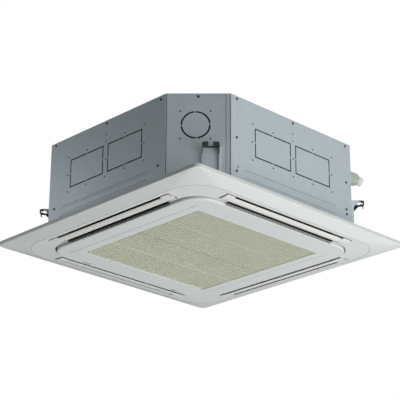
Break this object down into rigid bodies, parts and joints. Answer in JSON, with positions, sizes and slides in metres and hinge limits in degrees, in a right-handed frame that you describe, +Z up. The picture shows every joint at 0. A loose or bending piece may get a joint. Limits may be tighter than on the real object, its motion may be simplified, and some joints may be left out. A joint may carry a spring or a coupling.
{
  "type": "ceiling cassette air conditioner",
  "caption": "Ceiling cassette air conditioner: a sheet-metal casing with hangers over a square panel with outlet vanes and a hinged intake grille.",
  "frame": {"origin": "centre of the decoration panel, in the plane of the ceiling that its rim lies against", "axes": "+Z up through the casing, away from the room; +Y towards the pipe side; +X towards the side beside the drain stub"},
  "size_m": [0.95, 0.95, 0.3448],
  "materials": {
    "casing_steel": "satin",
    "hanger_steel": "satin",
    "copper": "satin",
    "foam": "matte",
    "coil": "satin",
    "fan_plastic": "matte",
    "motor_black": "satin",
    "black_plastic": "satin",
    "hose_rubber": "matte",
    "panel_white": "satin",
    "vane_cream": "satin",
    "grille_olive": "matte",
    "filter_mesh": "matte",
    "stub_green": "satin",
    "stub_clear": "gloss"
  },
  "bodies": {
    "housing": {"side_panel_right": "casing_steel", "side_panel_back": "casing_steel", "side_panel_left": "casing_steel", "side_panel_front": "casing_steel", "corner_panel_front_right": "casing_steel", "corner_panel_back_right": "casing_steel", "corner_panel_back_left": "casing_steel", "corner_panel_front_left": "casing_steel", "top_plate": "casing_steel", "pipe_cover_plate": "casing_steel", "control_box": "casing_steel", "control_box_cover": "casing_steel", "hanger_bracket_front_right": "hanger_steel", "hanger_bracket_back_right": "hanger_steel", "hanger_bracket_back_left": "hanger_steel", "hanger_bracket_front_left": "hanger_steel", "vane_motor_right": "hanger_steel", "vane_motor_back": "hanger_steel", "vane_motor_left": "hanger_steel", "vane_motor_front": "hanger_steel", "gas_pipe": "copper", "liquid_pipe": "copper", "foam_liner": "foam", "drain_pan": "foam", "heat_exchanger": "coil", "fan_motor": "motor_black", "drain_pump": "black_plastic", "float_switch": "black_plastic", "drain_hose": "hose_rubber", "bell_mouth": "panel_white", "panel_frame": "panel_white", "corner_cover_front_right": "panel_white", "corner_cover_back_right": "panel_white", "corner_cover_back_left": "panel_white", "corner_cover_front_left": "panel_white", "outlet_guide_right": "panel_white", "outlet_guide_back": "panel_white", "outlet_guide_left": "panel_white", "outlet_guide_front": "panel_white", "intake_frame": "panel_white", "hinge_hook_1": "panel_white", "hinge_hook_2": "panel_white", "drain_collar": "stub_green", "drain_socket": "stub_clear"},
    "intake_door": {"intake_door_frame": "panel_white", "intake_grille": "grille_olive", "filter_frame": "panel_white", "filter_net": "filter_mesh"},
    "latch_1": {"door_latch_1": "panel_white"},
    "latch_2": {"door_latch_2": "panel_white"},
    "fan": {"turbo_fan": "fan_plastic", "fan_shroud": "fan_plastic", "motor_shaft": "hanger_steel", "fan_nut": "hanger_steel"},
    "float_body": {"float": "foam"},
    "vane_body_right": {"vane_right": "vane_cream"},
    "vane_body_back": {"vane_back": "vane_cream"},
    "vane_body_left": {"vane_left": "vane_cream"},
    "vane_body_front": {"vane_front": "vane_cream"}
  },
  "joints": [
    {"name": "door_hinge", "type": "hinge", "parent": "housing", "child": "intake_door", "pos_m": [0.344, 0, -0.027], "axis": [0, -1, 0], "range_deg": [0, 90]},
    {"name": "latch_1_slide", "type": "slide", "parent": "intake_door", "child": "latch_1", "axis": [-1, 0, 0], "range_m": [0, 0.008]},
    {"name": "latch_2_slide", "type": "slide", "parent": "intake_door", "child": "latch_2", "axis": [-1, 0, 0], "range_m": [0, 0.008]},
    {"name": "vane_swing_right", "type": "hinge", "parent": "housing", "child": "vane_body_right", "pos_m": [0.38775, 0, -0.013], "axis": [0, 1, 0], "range_deg": [-10, 50]},
    {"name": "vane_swing_back", "type": "hinge", "parent": "housing", "child": "vane_body_back", "pos_m": [0, 0.38775, -0.013], "axis": [-1, 0, 0], "range_deg": [-10, 50]},
    {"name": "vane_swing_left", "type": "hinge", "parent": "housing", "child": "vane_body_left", "pos_m": [-0.38775, 0, -0.013], "axis": [0, -1, 0], "range_deg": [-10, 50]},
    {"name": "vane_swing_front", "type": "hinge", "parent": "housing", "child": "vane_body_front", "pos_m": [0, -0.38775, -0.013], "axis": [1, 0, 0], "range_deg": [-10, 50]},
    {"name": "fan_spin", "type": "hinge", "parent": "housing", "child": "fan", "pos_m": [0, 0, 0.185], "axis": [0, 0, 1], "continuous": true},
    {"name": "float_lift", "type": "slide", "parent": "housing", "child": "float_body", "axis": [0, 0, 1], "range_m": [0, 0.008]}
  ]
}
